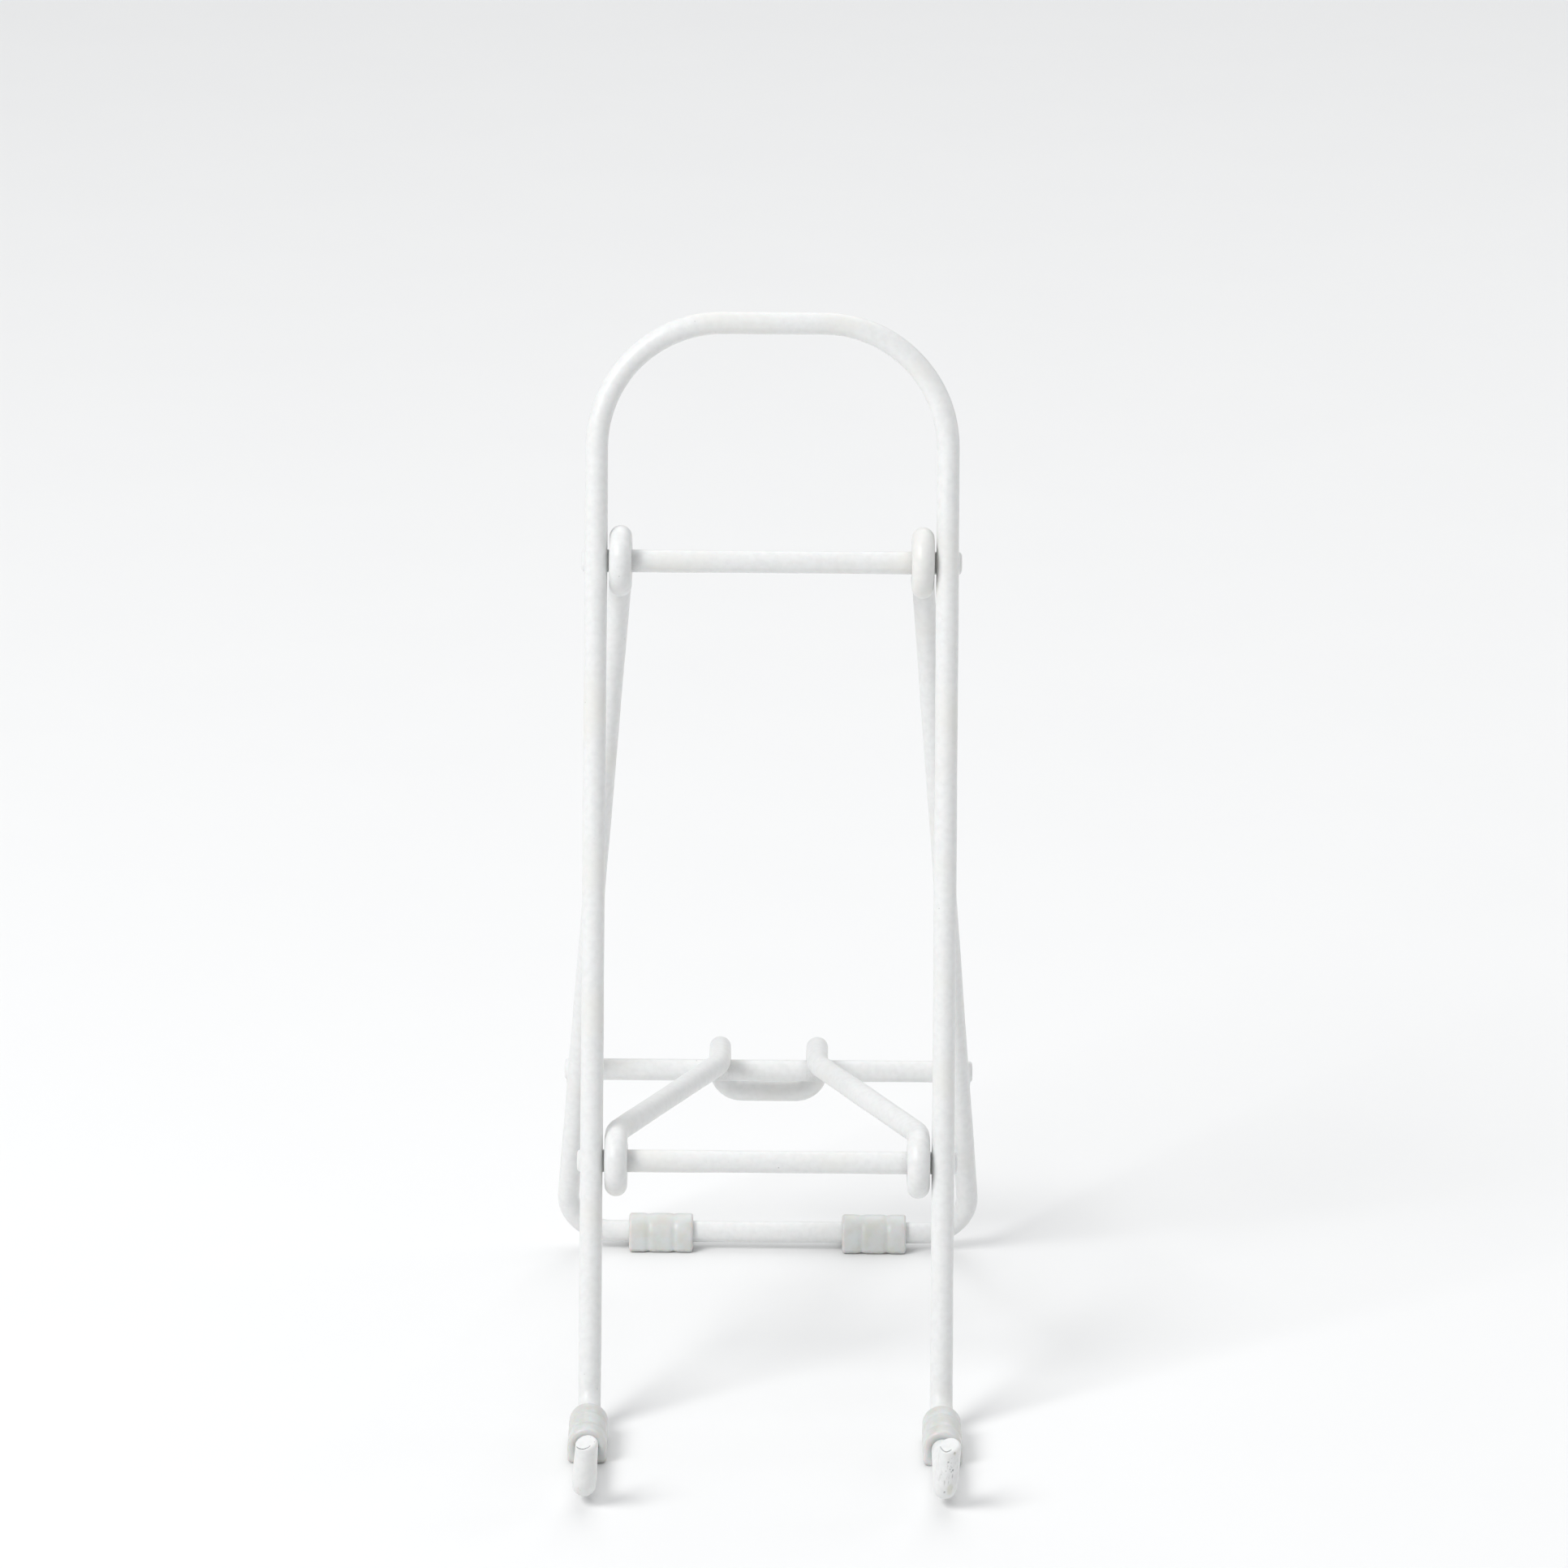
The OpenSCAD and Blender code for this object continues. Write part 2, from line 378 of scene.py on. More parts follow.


# ---------------------------------------------------------------- the two fingers

# The cracks are shallow grooves, and their dark colour is painted shade.
# Cracks round the cut ends: degrees round the finger from its front towards +X, and distance over
# the rim in mm
CRACKS = {
    "left": [
        (-66, 0.54), (-54, 0.50), (-27, 0.40), (-15, 0.35), (-2, 0.20), (10, 0.11), (28, 0.02),
    ],
    "right": [
        (-82, 0.27), (-59, 0.26), (-39, 0.35), (-24, 0.40), (-14, 0.30), (-5, 0.15), (6, -0.06),
    ],
}
CRACK_WIDTH = 0.075 * MM
CRACK_DEPTH = 0.2 * MM
# Where a crack ends at its sides, in crack widths from its middle
CRACK_EDGE = 1.5

# Chips: distance down from the tip, place across the front, half length and half width, all in
# mm, and depth as a part of CHIP_DEPTH
CHIPS = {
    "left": [
        (1.7, 1.36, 0.10, 0.08, 0.25),
    ],
    "right": [
        (0.5, 0.79, 0.20, 0.16, 0.50),
        (1.5, 0.36, 0.10, 0.10, 0.30),
        (2.3, -0.16, 0.14, 0.13, 0.90),
        (2.5, 0.36, 0.12, 0.10, 0.45),
        (3.1, -0.16, 0.09, 0.08, 0.55),
        (3.2, 0.36, 0.09, 0.08, 0.45),
        (3.5, 0.54, 0.09, 0.08, 0.70),
        (3.8, 0.28, 0.10, 0.08, 0.75),
        (4.1, 0.79, 0.16, 0.13, 0.95),
        (4.3, -0.41, 0.12, 0.12, 0.40),
        (4.4, 0.54, 0.12, 0.09, 0.75),
        (5.3, -1.05, 0.14, 0.10, 0.30),
        (5.4, 0.79, 0.40, 0.09, 0.45),
        (6.7, -1.32, 0.09, 0.09, 0.30),
        (6.7, 0.19, 0.35, 0.06, 0.25),
        (6.8, -0.41, 0.50, 0.08, 0.40),
        (8.6, -0.24, 0.14, 0.13, 0.75),
    ],
}
# Specks of another colour: the same without a depth
OLIVE_SPECKS = {
    "left": [(8.6, -0.92, 0.16, 0.12), (8.8, -0.60, 0.12, 0.10)],
    "right": [(8.1, 0.62, 0.90, 0.45), (0.6, 0.85, 0.30, 0.24)],
}
SCUFFS = {"left": 0.12, "right": 1.0}
CHIP_DEPTH = 0.05 * MM
# Where a chip ends, in its half sizes from its middle
CHIP_EDGE = 1.6

# Scuffs face the front. Down from the tip, in mm, they rise up to the start and fade out over the
# last distance before the end.
SCUFF_WRAP = 0.4
SCUFF_START, SCUFF_END, SCUFF_FADE = 1.5, 9.5, 2.0

RIM_ROUND = 0.45 * MM
SHOULDER_ROUND = 0.85 * MM
DOME = 0.10 * MM
FACE_RINGS = 26
RIM_RINGS = 14
# The first ring of an end face, as a part of the face's radius
FACE_START = 0.04
# How much longer the way over the rim is than the rim is deep, in radii of the rim
ARC_OVER_DEPTH = 0.57
SLOPE_LENGTH = 4 * MM
SETTLE_LENGTH = 20 * MM
NEARLY = 0.0001 * MM
TIP_SLIMMER = 0.07 * MM
TOE_THICKER = 0.11 * MM
TOE_SPREAD = 3.2 * MM
TOE_DOWN = FINGER_LEN - TOE_BEND


def finger_radius(down):
    """The coated finger is slimmest near its tip and thickest at the toe bend."""
    return wire_r - TIP_SLIMMER * (1 - smooth(down / TOE_DOWN)) + toe_bulge(down)


def toe_bulge(down):
    return TOE_THICKER * math.exp(-(((down - TOE_DOWN) / TOE_SPREAD) ** 2))


class Finger:
    """Works out the surface of one finger near its sloping, cracked end."""

    def __init__(self, side, tip, direction, a, b):
        self.side, self.tip, self.direction = side, tip, direction
        self.dirs = ring_dirs(a, b, FRONT_SIDES)
        right = square_to(X, direction)
        front = square_to(-Y, direction)
        self.turn = np.arctan2(self.dirs @ right, self.dirs @ front)
        lean = [math.tan(math.radians(CUT_SIDEWAYS)), math.tan(math.radians(CUT_FORWARD)), 0]
        self.normal = unit(direction - np.array(lean))
        self.round = RIM_ROUND + (SHOULDER_ROUND - RIM_ROUND) * smooth(np.sin(self.turn))

    def ring(self, q, depth, over):
        """A ring at radius q and depth under the cut; over, for the crack, runs over the rim."""
        crack = self.crack(over)
        marks = self.marks(depth)
        q = q - CRACK_DEPTH * crack - CHIP_DEPTH * marks["bare_and_crack_shade"]
        flat = self.dirs * q[:, None]
        slope = -(flat @ self.normal) / (self.direction @ self.normal)
        height = slope * (1 - smooth(depth / SLOPE_LENGTH)) - depth
        points = self.tip + flat + height[:, None] * self.direction
        # The crack gets the same dark grey as the chips: painted shade in the groove.
        marks["bare_and_crack_shade"] = np.maximum(marks["bare_and_crack_shade"], crack)
        return points, marks

    def crack(self, over):
        """How deep in the crack each point of a ring is, from 0 to 1."""
        line = np.array(CRACKS[self.side])
        u = wire_r * self.turn
        best = np.ones(FRONT_SIDES)
        for (t0, m0), (t1, m1) in zip(line[:-1], line[1:]):
            p0 = np.array([math.radians(t0) * wire_r, m0 * MM])
            p1 = np.array([math.radians(t1) * wire_r, m1 * MM])
            w = p1 - p0
            part = np.clip(((u - p0[0]) * w[0] + (over - p0[1]) * w[1]) / (w @ w), 0, 1)
            gap = np.hypot(u - p0[0] - part * w[0], over - p0[1] - part * w[1])
            best = np.minimum(best, gap)
        return smooth(CRACK_EDGE - best / CRACK_WIDTH)

    def marks(self, depth):
        """The chips, the olive specks and the general scuffing of a ring, from 0 to 1."""
        down = np.broadcast_to(depth, (FRONT_SIDES,)) / MM
        across = wire_r / MM * self.turn
        bare_and_crack_shade, olive = np.zeros(FRONT_SIDES), np.zeros(FRONT_SIDES)
        for chip_down, lateral, long, wide, deep in CHIPS[self.side]:
            gap = np.hypot((down - chip_down) / long, (across - arc_at(lateral)) / wide)
            bare_and_crack_shade = np.maximum(bare_and_crack_shade, deep * smooth(CHIP_EDGE - gap))
        for chip_down, lateral, long, wide in OLIVE_SPECKS[self.side]:
            gap = np.hypot((down - chip_down) / long, (across - arc_at(lateral)) / wide)
            olive = np.maximum(olive, smooth(CHIP_EDGE - gap))
        facing = smooth(np.cos(self.turn) + SCUFF_WRAP)
        span = smooth(down / SCUFF_START) * smooth((SCUFF_END - down) / SCUFF_FADE)
        return {"bare_and_crack_shade": bare_and_crack_shade, "olive": olive, "scuff": SCUFFS[self.side] * facing * span}

    def rings(self, end):
        """The end face, the rim and the straight side down to the depth end."""
        return list(self.end_rings()) + list(self.side_rings(end))

    def end_rings(self):
        """The domed end face and its rounded rim."""
        q_rim = finger_radius(0) - self.round
        for part in np.linspace(FACE_START, 1.0, FACE_RINGS):
            q = q_rim * part
            yield self.ring(q, -DOME * (1 - part**2), q - q_rim)
        for k in range(1, RIM_RINGS):
            a = math.radians(90 * k / RIM_RINGS)
            q = q_rim + self.round * math.sin(a)
            yield self.ring(q, self.round * (1 - math.cos(a)), self.round * a)

    def side_rings(self, end):
        """The straight side, from under the rim to the depth end."""
        steps = math.ceil(end / FINGER_STEP)
        for k in range(steps):
            part = k / steps
            depth = self.round + (end - self.round) * part
            q = np.full(FRONT_SIDES, finger_radius(end * part))
            yield self.ring(q, depth, depth + ARC_OVER_DEPTH * self.round)


def arc_at(lateral):
    """The distance round a finger, in mm, to a point that looks that far off its middle, in mm."""
    r = wire_r / MM
    return r * math.asin(lateral / r)


# ---------------------------------------------------------------- the wires


def front_path():
    left, right = finger_dir("left"), finger_dir("right")
    toe_left = np.array([-finger_x, toe_y, wire_z])
    toe_right = np.array([finger_x, toe_y, wire_z])
    points = [
        toe_left + FINGER_LEN * left, toe_left, at_x(-finger_x, heel), at_x(-finger_x, top),
        at_x(finger_x, top), at_x(finger_x, heel), toe_right, toe_right + FINGER_LEN * right,
    ]
    bends = [0, TOE_BEND, HEEL_BEND, ARCH_BEND, ARCH_BEND, HEEL_BEND, TOE_BEND, 0]
    return bent_path(points, bends)


def toe_trim(side):
    """Length of the straight finger that its toe bend takes up."""
    turn = math.acos(-finger_dir(side)[1])
    return TOE_BEND * math.tan(turn / 2)


def front_skin():
    """The coating of the whole front wire, from one finger's cut end to the other's."""
    path = front_path()
    _, a, b = transport(path, X)
    along = run_length(path)
    total = along[-1]
    straight = {side: FINGER_LEN - toe_trim(side) for side in FINGER_TILTS}
    left = Finger("left", path[0], finger_dir("left"), a[0], b[0])
    right = Finger("right", path[-1], finger_dir("right"), a[-1], b[-1])

    skin = Skin(FRONT_SIDES)
    for points, marks in left.rings(straight["left"]):
        skin.add(points, **marks)
    for i, s in enumerate(along):
        if straight["left"] <= s + NEARLY and s - NEARLY <= total - straight["right"]:
            finger, from_end = (left, s) if s < total / 2 else (right, total - s)
            marks = finger.marks(from_end)
            settle = smooth((from_end - straight[finger.side]) / SETTLE_LENGTH)
            r = wire_r + toe_bulge(from_end) + settle * unevenness(s)
            r = r - CHIP_DEPTH * marks["bare_and_crack_shade"]
            skin.add(path[i] + r[:, None] * ring_dirs(a[i], b[i], FRONT_SIDES), **marks)
    for points, marks in reversed(right.rings(straight["right"])):
        skin.add(points, **marks)
    return skin.piece("front_wire_skin")


def with_eyes(path, centre, out):
    """A path with the right eye's ring before its start and the left eye's after its end."""
    eye = eye_path(eye_x, centre, out)
    return eye + path + [at_x(-eye_x, p) for p in reversed(eye)]


def prop_path():
    leg = [
        at_x(eye_x, prop_start), at_x(eye_x, prop_start + EYE_LEAD * prop_dir),
        at_x(PROP_FOOT_X, prop_start + prop_len * prop_dir),
    ]
    bends = (0, PROP_TOP_BEND, PROP_CORNER_BEND)
    return with_eyes(bent_path(mirrored(leg), bends + bends[::-1]), hinge, prop_back)


def stay_path():
    corner = stay_start + (stay_span + eye_r * math.tan(hook_turn / 2)) * stay_dir
    side = [
        at_x(eye_x, stay_start), at_x(eye_x, stay_start + EYE_LEAD * stay_dir),
        at_x(HOOK_X, stay_start + (stay_span - HOOK_LEAD) * stay_dir),
        at_x(HOOK_X, corner), at_x(HOOK_X, corner + HOOK_LEN * hook_dir),
    ]
    bends = (0, STAY_TOP_BEND, HOOK_LEAD_BEND, eye_r, HOOK_TIP_BEND)
    return with_eyes(bent_path(mirrored(side), bends + bends[::-1]), stay_pivot, stay_up)


def rod_path(node):
    low, high = box(node)
    start, end = (at_x(x, middle(node)) for x in (low[0], high[0]))
    return straight_points(start, end, STRAIGHT_STEP) + [end]


# ---------------------------------------------------------------- coating in the weld corners

FILLET = 0.9 * MM
FILLET_STEPS = 96
FILLET_ARC = 8
FILLET_FROM_END = 0.4 * MM
# How far the hidden back of a fillet lies from the ball's middle, in ball radii: at each wire and
# between them
FILLET_BURIED = 1.25
FILLET_BACK = 1.9
# Steps of the search for the turn at which a fillet ends
HALVINGS = 50


def weld_skin(name, wire_point, wire_dir, rod_point, rod_half):
    """The coating that fills the corner all round where a cross rod is welded to a wire."""
    reach = wire_r + FILLET
    outward = math.copysign(1, rod_point[0])
    limit = rod_half - FILLET_FROM_END
    back = square_to(rod_point - wire_point, X)
    up = np.cross(X, back)

    def ball(angle, sign):
        """Middle of a ball that touches both wires, at a turn round the rod."""
        on_rod = rod_point + reach * (math.sin(angle) * up - math.cos(angle) * back)
        m = on_rod - wire_point
        m = m - (m @ wire_dir) * wire_dir
        x = X - (X @ wire_dir) * wire_dir
        half = (m @ x) / (x @ x)
        inside = half**2 - (m @ m - reach**2) / (x @ x)
        if inside < 0:
            return None
        return on_rod + (-half + sign * math.sqrt(inside)) * X

    def last_angle(sign):
        """The largest turn, one way, at which the ball still touches both."""
        low, high = 0.0, math.pi
        for _ in range(HALVINGS):
            mid = (low + high) / 2
            low, high = (mid, high) if ball(sign * mid, 1) is not None else (low, mid)
        return sign * low

    first, final = last_angle(-1), last_angle(1)
    rings = []
    for k in range(FILLET_STEPS):
        t = 2 * math.pi * k / FILLET_STEPS
        angle = (first + final) / 2 - (final - first) / 2 * math.cos(t)
        centre = ball(angle, 1 if t <= math.pi else -1)
        to_wire = wire_point + ((centre - wire_point) @ wire_dir) * wire_dir - centre
        to_rod = at_x(centre[0], rod_point) - centre
        d1, d2 = unit(to_wire), unit(to_rod)
        spread = math.acos(np.clip(d1 @ d2, -1, 1))
        ring = []
        for j in range(FILLET_ARC + 1):
            a = spread * j / FILLET_ARC
            d = (math.sin(spread - a) * d1 + math.sin(a) * d2) / math.sin(spread)
            ring.append(centre + FILLET * d)
        ring.append(centre + FILLET_BURIED * FILLET * d2)
        ring.append(centre + FILLET_BACK * FILLET * unit(d1 + d2))
        ring.append(centre + FILLET_BURIED * FILLET * d1)
        rings.append([at_x(outward * min(outward * p[0], limit), p) for p in ring])
    return ring_piece(name, rings)


# ---------------------------------------------------------------- feet

FOOT_ROUND = 0.55 * MM
FOOT_GROOVES = (0.3, 0.7)
FOOT_GROOVE_DEPTH = 0.16 * MM
FOOT_GROOVE_WIDTH = 0.5 * MM
FOOT_CORNER = 0.9 * MM
FOOT_BORE_GAP = 0.01 * MM
FOOT_TOP_STEPS = 32
FOOT_CORNER_STEPS = 8
FOOT_EDGE_STEPS = 6
FOOT_SPAN_STEPS = 40


def foot_outline(inset):
    """The outline of a foot, seen along its wire: a round top and a flat sole, soft-cornered."""
    r, sole = foot_top_r - inset, wire_z - inset
    outline = []
    for k in range(FOOT_TOP_STEPS + 1):
        a = math.pi * k / FOOT_TOP_STEPS
        outline.append((r * math.cos(a), r * math.sin(a)))
    low = FOOT_CORNER - sole
    for x, start in ((FOOT_CORNER - r, math.pi), (r - FOOT_CORNER, 1.5 * math.pi)):
        for k in range(FOOT_CORNER_STEPS + 1):
            a = start + math.pi / 2 * k / FOOT_CORNER_STEPS
            outline.append((x + FOOT_CORNER * math.cos(a), low + FOOT_CORNER * math.sin(a)))
    return outline


def foot_piece(node):
    """A push-on vinyl foot in place of its CAD node, with soft edges and two shallow grooves."""
    low, high = box(node)
    centre = np.array([(low[0] + high[0]) / 2, (low[1] + high[1]) / 2, wire_z])
    axis = X if high[0] - low[0] > high[1] - low[1] else Y
    across = np.cross(Z, axis)
    length = (high - low) @ axis
    bore = [unit(np.array(p)) * (wire_r + FOOT_BORE_GAP) for p in foot_outline(0)]

    rings = []

    def add(outline, at):
        middle_at = (at - length / 2) * axis
        rings.append([centre + p[0] * across + p[1] * Z + middle_at for p in outline])

    add(bore, 0)
    turns = [math.pi / 2 * k / FOOT_EDGE_STEPS for k in range(FOOT_EDGE_STEPS + 1)]
    for a in turns:
        add(foot_outline(FOOT_ROUND * (1 - math.sin(a))), FOOT_ROUND * (1 - math.cos(a)))
    for k in range(1, FOOT_SPAN_STEPS):
        at = FOOT_ROUND + (length - 2 * FOOT_ROUND) * k / FOOT_SPAN_STEPS
        dip = sum(
            FOOT_GROOVE_DEPTH * math.exp(-(((at - length * g) / FOOT_GROOVE_WIDTH) ** 2))
            for g in FOOT_GROOVES
        )
        add(foot_outline(dip), at)
    for a in reversed(turns):
        add(foot_outline(FOOT_ROUND * (1 - math.sin(a))), length - FOOT_ROUND * (1 - math.cos(a)))
    add(bore, length)
    # Turned round, so that the faces of the foot look outwards
    return ring_piece(node + "_skin", [ring[::-1] for ring in rings])


# ---------------------------------------------------------------- materials

# The sockets of a Mix node that carry colours
MIX_A, MIX_B, MIX_RESULT = 6, 7, 2

CLEAN_WHITE = (0.80, 0.805, 0.80)
DULL_WHITE = (0.76, 0.765, 0.76)
YELLOWED = (0.765, 0.755, 0.715)
SCUFF_GREY = (0.46, 0.46, 0.44)
OLIVE = (0.52, 0.50, 0.30)
SPOT_GREY = (0.34, 0.34, 0.33)
# Dark grey of the chips and rubbed spots, and painted shade in the cracks round the cut ends
BARE_AND_CRACK_SHADE_GREY = (0.13, 0.135, 0.135)
STEEL = (0.30, 0.30, 0.31)
RUST = (0.20, 0.13, 0.08)
MILKY_VINYL = (0.66, 0.68, 0.675)
AGED_VINYL = (0.62, 0.625, 0.59)
SOLE_GREY = (0.42, 0.41, 0.39)
FLOOR_DULL = (0.86, 0.86, 0.86)
FLOOR_BRIGHT = (0.875, 0.875, 0.873)


class Material:
    """A material whose colour, roughness and bump are worked out in mm of the object's space."""

    def __init__(self, name):
        self.material = bpy.data.materials.new(name)
        self.material.use_nodes = True
        self.tree = self.material.node_tree
        self.shader = self.tree.nodes["Principled BSDF"]
        where = self.tree.nodes.new("ShaderNodeTexCoord")
        scale = self.tree.nodes.new("ShaderNodeMapping")
        scale.inputs["Scale"].default_value = (1 / MM, 1 / MM, 1 / MM)
        self.link(where.outputs["Object"], scale.inputs["Vector"])
        self.mm = scale.outputs["Vector"]

    def link(self, source, target):
        self.tree.links.new(source, target)

    def feed(self, value, socket):
        if isinstance(value, bpy.types.NodeSocket):
            self.link(value, socket)
        else:
            socket.default_value = value

    def noise(self, per_mm, detail=3.0, rough=0.5, stretch=None):
        node = self.tree.nodes.new("ShaderNodeTexNoise")
        node.inputs["Scale"].default_value = per_mm
        node.inputs["Detail"].default_value = detail
        node.inputs["Roughness"].default_value = rough
        vector = self.mm
        if stretch:
            squeeze = self.tree.nodes.new("ShaderNodeMapping")
            squeeze.inputs["Scale"].default_value = stretch
            self.link(self.mm, squeeze.inputs["Vector"])
            vector = squeeze.outputs["Vector"]
        self.link(vector, node.inputs["Vector"])
        return node.outputs["Fac"]

    def specks(self, per_mm):
        node = self.tree.nodes.new("ShaderNodeTexVoronoi")
        node.inputs["Scale"].default_value = per_mm
        self.link(self.mm, node.inputs["Vector"])
        return node.outputs["Distance"]

    def number(self, name):
        node = self.tree.nodes.new("ShaderNodeAttribute")
        node.attribute_name = name
        return node.outputs["Fac"]

    def range(self, value, low, high, to_low=0.0, to_high=1.0):
        node = self.tree.nodes.new("ShaderNodeMapRange")
        node.interpolation_type = "SMOOTHSTEP"
        self.feed(value, node.inputs["Value"])
        ends = {"From Min": low, "From Max": high, "To Min": to_low, "To Max": to_high}
        for socket, number in ends.items():
            node.inputs[socket].default_value = number
        return node.outputs["Result"]

    def math(self, operation, a, b):
        node = self.tree.nodes.new("ShaderNodeMath")
        node.operation = operation
        self.feed(a, node.inputs[0])
        self.feed(b, node.inputs[1])
        return node.outputs[0]

    def mix(self, factor, a, b):
        node = self.tree.nodes.new("ShaderNodeMix")
        node.data_type = "RGBA"
        self.feed(factor, node.inputs["Factor"])
        for socket, colour in ((MIX_A, a), (MIX_B, b)):
            if not isinstance(colour, bpy.types.NodeSocket):
                colour = (*colour, 1.0)
            self.feed(colour, node.inputs[socket])
        return node.outputs[MIX_RESULT]

    def bump(self, height, distance, strength=1.0, under=None):
        node = self.tree.nodes.new("ShaderNodeBump")
        node.inputs["Distance"].default_value = distance
        node.inputs["Strength"].default_value = strength
        self.feed(height, node.inputs["Height"])
        if under:
            self.link(under, node.inputs["Normal"])
        return node.outputs["Normal"]

    def set(self, **values):
        for name, value in values.items():
            self.feed(value, self.shader.inputs[name.replace("_", " ").title()])

    def height(self):
        node = self.tree.nodes.new("ShaderNodeSeparateXYZ")
        self.link(self.mm, node.inputs["Vector"])
        return node.outputs["Z"]


def white_coating():
    """Satin white dipped coating, mottled and yellowed in places, with chips down to grey steel and
    painted shade in the cracks.
    """
    m = Material("white_coating")
    clean = m.mix(m.range(m.noise(0.9, 4), 0.35, 0.7), CLEAN_WHITE, DULL_WHITE)
    warm = m.mix(m.range(m.noise(0.07, 2), 0.5, 0.72, 0, 0.5), clean, YELLOWED)
    streaks = m.range(m.noise(2.2, 3, 0.6, stretch=(1, 1, 0.22)), 0.52, 0.72)
    scuffed = m.math("MULTIPLY", m.number("scuff"), m.math("MULTIPLY", streaks, 0.3))
    worn = m.mix(scuffed, warm, SCUFF_GREY)
    olive = m.mix(m.math("MULTIPLY", m.number("olive"), 0.28), worn, OLIVE)
    spots = m.range(m.specks(0.55), 0.10, 0.04)
    rare = m.range(m.noise(0.16, 1), 0.60, 0.66)
    few_spots = m.math("MULTIPLY", spots, rare)
    spotted = m.mix(m.math("MULTIPLY", few_spots, 0.6), olive, SPOT_GREY)
    broken = m.range(m.noise(5.0, 3), 0.25, 0.62, 0.55, 1.0)
    # Chips and rubbed spots show grey steel; in the cracks the same dark grey is painted shade.
    bare_and_crack_shade = m.math("MULTIPLY", m.number("bare_and_crack_shade"), broken)
    m.set(base_color=m.mix(bare_and_crack_shade, spotted, BARE_AND_CRACK_SHADE_GREY))
    satin = m.range(m.noise(0.5, 3), 0.3, 0.7, 0.36, 0.46)
    m.set(roughness=m.math("ADD", satin, m.math("MULTIPLY", bare_and_crack_shade, 0.2)))
    peel = m.bump(m.noise(0.8, 2), 0.018 * MM)
    m.set(normal=m.bump(m.noise(6.0, 3), 0.002 * MM, under=peel))
    m.set(subsurface_weight=0.06, subsurface_scale=0.8 * MM)
    return m.material


def steel_wire():
    """Drawn steel wire, for the cores under the coating."""
    m = Material("steel_wire")
    rust = m.range(m.noise(0.8, 4), 0.55, 0.75, 0, 0.35)
    m.set(base_color=m.mix(rust, STEEL, RUST))
    m.set(metallic=0.9, roughness=m.range(m.noise(3.0, 3), 0.3, 0.7, 0.38, 0.58))
    m.set(normal=m.bump(m.noise(2.5, 2, stretch=(1, 1, 0.1)), 0.01 * MM))
    return m.material


def foot_vinyl():
    """Milky soft vinyl, a little yellowed, scuffed grey on the sole."""
    m = Material("foot_vinyl")
    body = m.mix(m.range(m.noise(0.35, 3), 0.35, 0.7), MILKY_VINYL, AGED_VINYL)
    near_floor = m.range(m.height(), 1.1, 0.0)
    sole = m.math("MULTIPLY", near_floor, m.range(m.noise(1.6, 4), 0.35, 0.65, 0.25, 0.8))
    m.set(base_color=m.mix(sole, body, SOLE_GREY))
    m.set(roughness=m.range(m.noise(1.2, 3), 0.3, 0.7, 0.28, 0.42))
    m.set(normal=m.bump(m.noise(1.8, 3), 0.02 * MM))
    m.set(subsurface_weight=0.35, subsurface_scale=1.5 * MM)
    return m.material


def finish_pieces():
    """Makes every piece, puts it on its body and gives it its finish."""
    white, steel, vinyl = white_coating(), steel_wire(), foot_vinyl()

    def coated(piece, body, *nodes):
        piece.data.materials.append(white)
        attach(piece, body)
        if nodes:
            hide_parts(*nodes)

    coated(front_skin(), "front_frame", "front_coating")
    coated(coated_tube("prop_wire_skin", prop_path(), END_ROUND), "prop", "prop_coating")
    coated(coated_tube("stay_wire_skin", stay_path(), END_ROUND), "stay", "stay_coating")
    rods = {"hinge_rod": "front_frame", "stay_rod": "front_frame", "catch_rod": "prop"}
    for rod, body in rods.items():
        node = rod + "_coating"
        coated(coated_tube(rod + "_skin", rod_path(node), ROD_END_ROUND), body, node)

    for side, sign in (("left", -1), ("right", 1)):
        x = sign * finger_x
        for rod, centre in (("hinge_rod", hinge), ("stay_rod", stay_pivot)):
            half = half_size(rod + "_coating", 0)
            name, on_rod = f"{rod}_weld_{side}", at_x(x, centre)
            piece = weld_skin(name, at_x(x, heel), upright_dir, on_rod, half)
            coated(piece, "front_frame")
        leg_top = at_x(sign * eye_x, prop_start + EYE_LEAD * prop_dir)
        leg_foot = at_x(sign * PROP_FOOT_X, prop_start + prop_len * prop_dir)
        down = (leg_top[2] - catch[2]) / (leg_top[2] - leg_foot[2])
        leg_at = leg_top + down * (leg_foot - leg_top)
        half = half_size("catch_rod_coating", 0)
        leg_dir = unit(leg_foot - leg_top)
        name, on_rod = f"catch_rod_weld_{side}", at_x(leg_at[0], catch)
        piece = weld_skin(name, leg_at, leg_dir, on_rod, half)
        coated(piece, "prop")

    for end, body in (("front", "front_frame"), ("rear", "prop")):
        for side in ("left", "right"):
            node = f"{end}_foot_{side}"
            piece = foot_piece(node)
            piece.data.materials.append(vinyl)
            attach(piece, body)
            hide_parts(node)

    for node in ("front_wire", "hinge_rod", "stay_rod", "prop_wire", "catch_rod", "stay_wire"):
        for slot in frame["nodes"][node].material_slots:
            slot.material = steel


# ---------------------------------------------------------------- floor, light and camera

# The plate that the stand is made for leans back as the uprights do, and the camera looks at it
# square-on
VIEW_DISTANCE = 1.2
VIEW_WIDTH = 0.2699
VIEW_RIGHT = 2.45 * MM
VIEW_UP = 123.2 * MM
VIEW_ROLL = 0.44
CLIP_NEAR, CLIP_FAR = 0.05, 20
# The width of the camera's sensor, in mm
SENSOR = 36.0


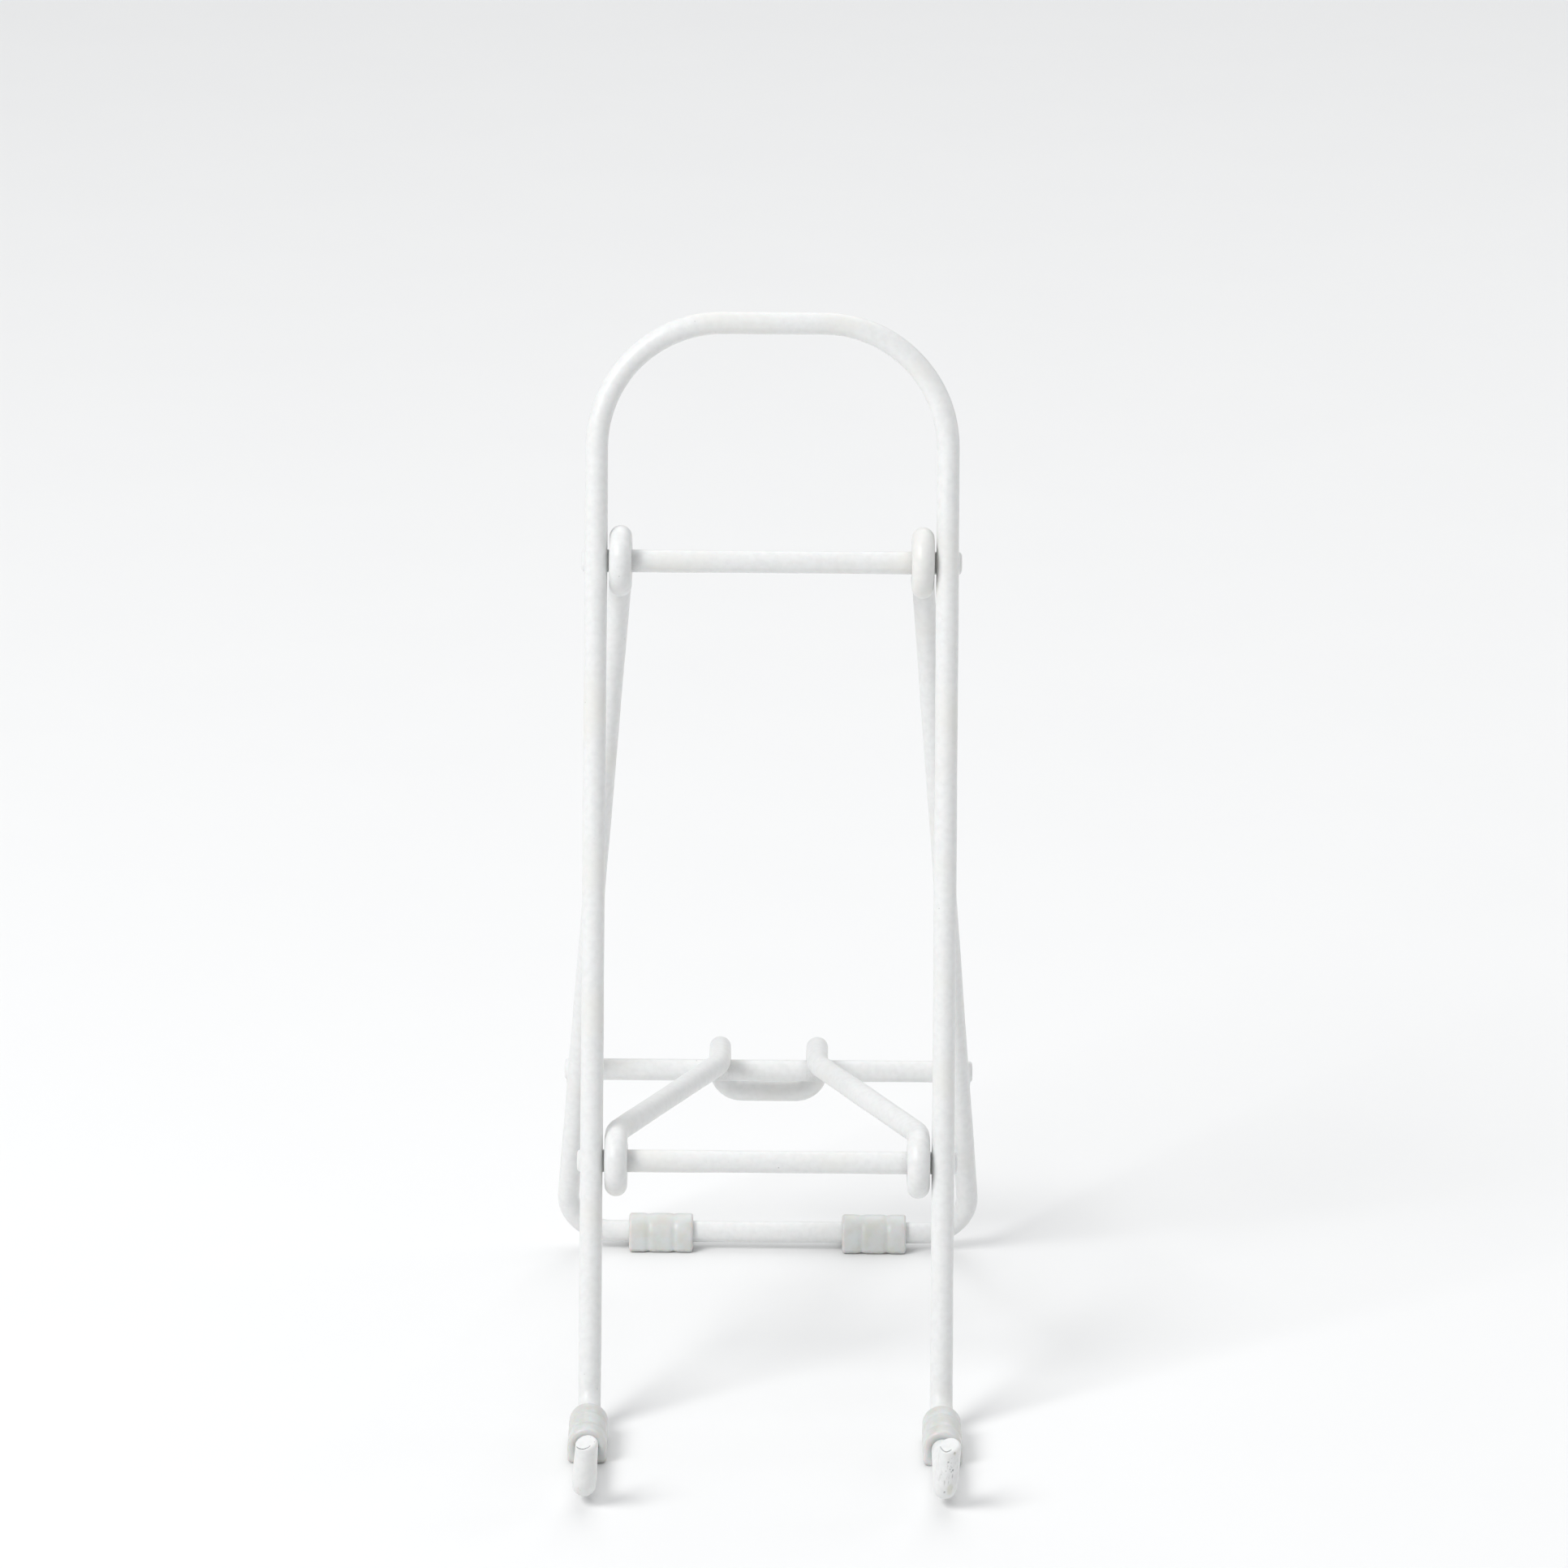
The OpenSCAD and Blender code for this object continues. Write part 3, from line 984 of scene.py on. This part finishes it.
def add_camera():
    camera = bpy.data.objects.new("camera", bpy.data.cameras.new("camera"))
    bpy.context.scene.collection.objects.link(camera)
    along = np.cross(X, upright_dir)
    rim_rest = np.array([0.0, toe_y + 2 * wire_r, wire_z + wire_r])
    finger_low = np.array([0.0, toe_y, wire_z - wire_r])
    up_to_finger = (finger_low - rim_rest) @ upright_dir
    target = rim_rest + (up_to_finger + VIEW_UP) * upright_dir + VIEW_RIGHT * X
    camera.location = target + VIEW_DISTANCE * along
    square_on = Matrix(np.array([X, upright_dir, along]).T.tolist())
    camera.rotation_mode = "QUATERNION"
    rolled = square_on @ Matrix.Rotation(math.radians(VIEW_ROLL), 3, "Z")
    camera.rotation_quaternion = rolled.to_quaternion()
    camera.data.sensor_width = SENSOR
    camera.data.lens = SENSOR * VIEW_DISTANCE / VIEW_WIDTH
    camera.data.clip_start, camera.data.clip_end = CLIP_NEAR, CLIP_FAR
    bpy.context.scene.camera = camera


FLOOR_HALF = 6.0


def add_floor():
    mesh = bpy.data.meshes.new("floor")
    h = FLOOR_HALF
    mesh.from_pydata([(-h, -h, 0), (h, -h, 0), (h, h, 0), (-h, h, 0)], [], [(0, 1, 2, 3)])
    floor = bpy.data.objects.new("floor", mesh)
    bpy.context.scene.collection.objects.link(floor)
    m = Material("floor")
    m.set(base_color=m.mix(m.noise(0.02, 2), FLOOR_DULL, FLOOR_BRIGHT))
    m.set(roughness=m.range(m.noise(0.5, 2), 0.3, 0.7, 0.7, 0.8))
    mesh.materials.append(m.material)


AIM = (0, 0, 0.05)
# Name, place, size and power in watts
LIGHTS = (
    ("key", (-1.1, -0.9, 1.5), 0.9, 25),
    ("top", (0.2, 0.4, 1.9), 1.4, 6.5),
    ("back", (0.2, 1.9, 1.8), 1.6, 10),
    ("right edge", (1.3, 0.5, 0.5), 0.7, 2.5),
)
WORLD_COLOUR = (0.97, 0.985, 1.0, 1)
WORLD_STRENGTH = 0.48


def add_light(name, place, size, power):
    light = bpy.data.lights.new(name, "AREA")
    light.shape, light.size, light.energy = "SQUARE", size, power
    lamp = bpy.data.objects.new(name, light)
    lamp.location = place
    lamp.rotation_mode = "QUATERNION"
    lamp.rotation_quaternion = (Vector(AIM) - Vector(place)).to_track_quat("-Z", "Y")
    bpy.context.scene.collection.objects.link(lamp)


def add_light_and_world():
    for light in LIGHTS:
        add_light(*light)
    world = bpy.data.worlds.new("studio")
    world.use_nodes = True
    background = world.node_tree.nodes["Background"]
    background.inputs["Color"].default_value = WORLD_COLOUR
    background.inputs["Strength"].default_value = WORLD_STRENGTH
    bpy.context.scene.world = world
    bpy.context.scene.view_settings.view_transform = "Standard"


add_camera()
finish_pieces()
add_floor()
add_light_and_world()
